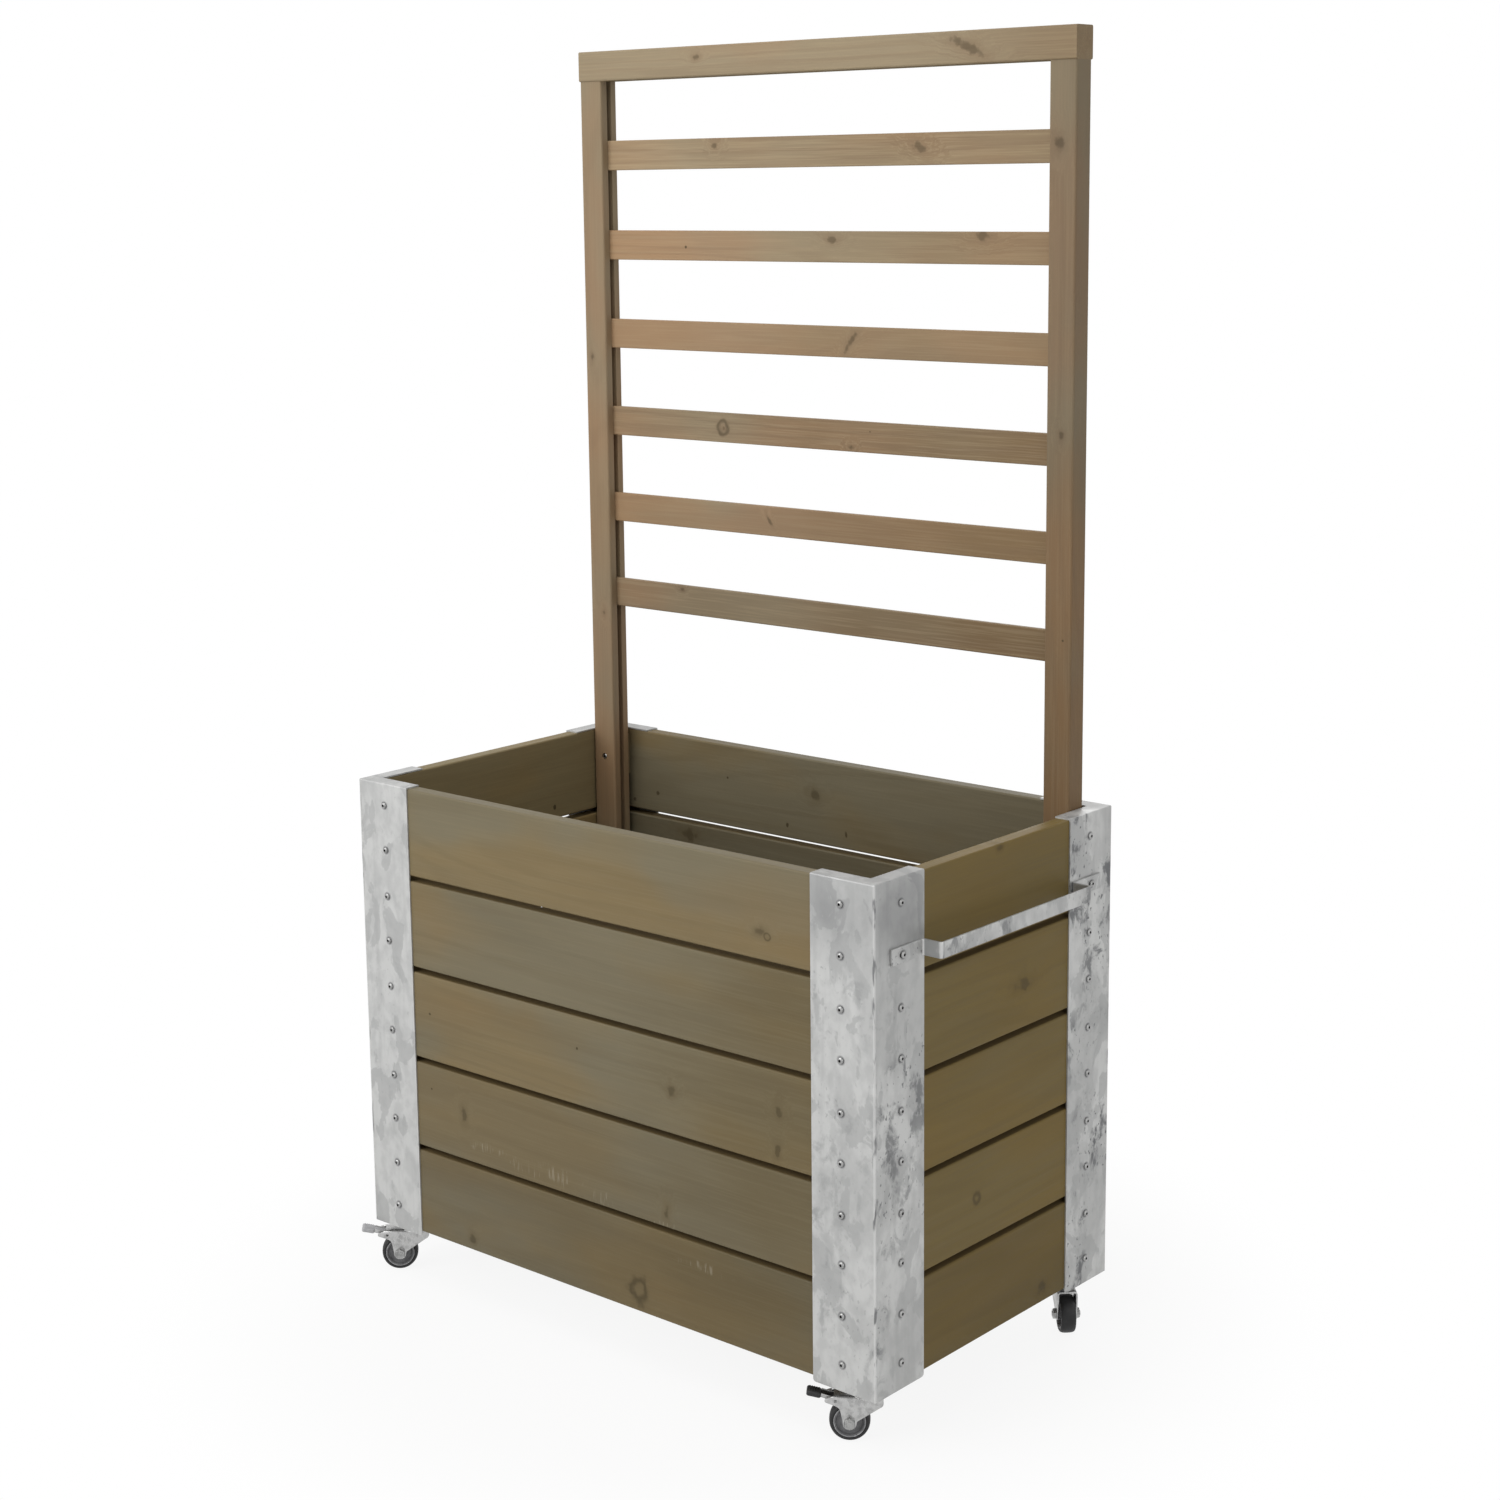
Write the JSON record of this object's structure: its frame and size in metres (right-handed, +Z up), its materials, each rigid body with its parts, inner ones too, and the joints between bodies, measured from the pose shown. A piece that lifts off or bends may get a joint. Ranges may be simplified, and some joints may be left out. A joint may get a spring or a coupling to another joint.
{
  "type": "planter room divider",
  "caption": "Wheeled slatted wooden planter box with folded steel corners and end handles, and a tall slatted trellis standing in its back as a screen.",
  "frame": {"origin": "on the floor under the middle of the planter box", "axes": "+X along the box to the viewer's right, -Y the planting front, +Z up; the trellis is at +Y"},
  "size_m": [0.945, 0.5253, 1.6765],
  "materials": {
    "stained_wood": "satin stain",
    "inner_wood": "matt stain",
    "galvanised_steel": "mottled zinc",
    "zinc_steel": "bright zinc",
    "screw_steel": "bright zinc",
    "wheel_plastic": "moulded",
    "tyre_rubber": "matt",
    "black_plastic": "moulded",
    "grey_plastic": "moulded"
  },
  "bodies": {
    "planter": {"front_board_1": "stained_wood", "front_board_2": "stained_wood", "front_board_3": "stained_wood", "front_board_4": "stained_wood", "front_board_5": "stained_wood", "back_board_1": "stained_wood", "back_board_2": "stained_wood", "back_board_3": "stained_wood", "back_board_4": "stained_wood", "back_board_5": "stained_wood", "left_end_board_1": "stained_wood", "left_end_board_2": "stained_wood", "left_end_board_3": "stained_wood", "left_end_board_4": "stained_wood", "left_end_board_5": "stained_wood", "right_end_board_1": "stained_wood", "right_end_board_2": "stained_wood", "right_end_board_3": "stained_wood", "right_end_board_4": "stained_wood", "right_end_board_5": "stained_wood", "corner_angle_front_left": "galvanised_steel", "corner_angle_front_right": "galvanised_steel", "corner_angle_rear_left": "galvanised_steel", "corner_angle_rear_right": "galvanised_steel", "left_handle": "galvanised_steel", "right_handle": "galvanised_steel", "floor_boards": "inner_wood", "floor_bearers": "inner_wood", "left_post": "stained_wood", "right_post": "stained_wood", "top_rail": "stained_wood", "trellis_slat_1": "stained_wood", "trellis_slat_2": "stained_wood", "trellis_slat_3": "stained_wood", "trellis_slat_4": "stained_wood", "trellis_slat_5": "stained_wood", "trellis_slat_6": "stained_wood", "post_spacers": "inner_wood", "corner_screws": "screw_steel", "long_screws": "screw_steel", "castor_bolts": "screw_steel", "castor_plates": "zinc_steel"},
    "swivel_front_left": {"castor_fork_front_left": "zinc_steel", "castor_axle_front_left": "screw_steel"},
    "wheel_front_left": {"castor_wheel_front_left": "wheel_plastic", "castor_tyre_front_left": "tyre_rubber"},
    "swivel_front_right": {"castor_fork_front_right": "zinc_steel", "castor_axle_front_right": "screw_steel"},
    "wheel_front_right": {"castor_wheel_front_right": "wheel_plastic", "castor_tyre_front_right": "tyre_rubber"},
    "swivel_rear_left": {"castor_fork_rear_left": "zinc_steel", "castor_axle_rear_left": "screw_steel"},
    "wheel_rear_left": {"castor_wheel_rear_left": "wheel_plastic", "castor_tyre_rear_left": "tyre_rubber"},
    "swivel_rear_right": {"castor_fork_rear_right": "zinc_steel", "castor_axle_rear_right": "screw_steel"},
    "wheel_rear_right": {"castor_wheel_rear_right": "wheel_plastic", "castor_tyre_rear_right": "tyre_rubber"},
    "pedal_front_left": {"brake_pedal_front_left": "grey_plastic"},
    "pedal_front_right": {"brake_pedal_front_right": "black_plastic"}
  },
  "joints": [
    {"name": "swivel_front_left", "type": "hinge", "parent": "planter", "child": "swivel_front_left", "pos_m": [-0.4025, -0.2075, 0.0595], "axis": [0, 0, 1], "continuous": true},
    {"name": "wheel_front_left", "type": "hinge", "parent": "swivel_front_left", "child": "wheel_front_left", "pos_m": [-0.41917, -0.22476, 0.025], "axis": [0.7193, -0.6947, 0], "continuous": true},
    {"name": "pedal_front_left", "type": "hinge", "parent": "swivel_front_left", "child": "pedal_front_left", "pos_m": [-0.43098, -0.23699, 0.053], "axis": [0.7193, -0.6947, 0], "range_deg": [0, 15]},
    {"name": "swivel_front_right", "type": "hinge", "parent": "planter", "child": "swivel_front_right", "pos_m": [0.4025, -0.2075, 0.0595], "axis": [0, 0, 1], "continuous": true},
    {"name": "wheel_front_right", "type": "hinge", "parent": "swivel_front_right", "child": "wheel_front_right", "pos_m": [0.38333, -0.22194, 0.025], "axis": [0.6018, -0.7986, 0], "continuous": true},
    {"name": "pedal_front_right", "type": "hinge", "parent": "swivel_front_right", "child": "pedal_front_right", "pos_m": [0.36976, -0.23217, 0.053], "axis": [0.6018, -0.7986, 0], "range_deg": [0, 15]},
    {"name": "swivel_rear_left", "type": "hinge", "parent": "planter", "child": "swivel_rear_left", "pos_m": [-0.4025, 0.2075, 0.0595], "axis": [0, 0, 1], "continuous": true},
    {"name": "wheel_rear_left", "type": "hinge", "parent": "swivel_rear_left", "child": "wheel_rear_left", "pos_m": [-0.40667, 0.23114, 0.025], "axis": [-0.9848, -0.1736, 0], "continuous": true},
    {"name": "swivel_rear_right", "type": "hinge", "parent": "planter", "child": "swivel_rear_right", "pos_m": [0.4025, 0.2075, 0.0595], "axis": [0, 0, 1], "continuous": true},
    {"name": "wheel_rear_right", "type": "hinge", "parent": "swivel_rear_right", "child": "wheel_rear_right", "pos_m": [0.41917, 0.19024, 0.025], "axis": [0.7193, 0.6947, 0], "continuous": true}
  ]
}
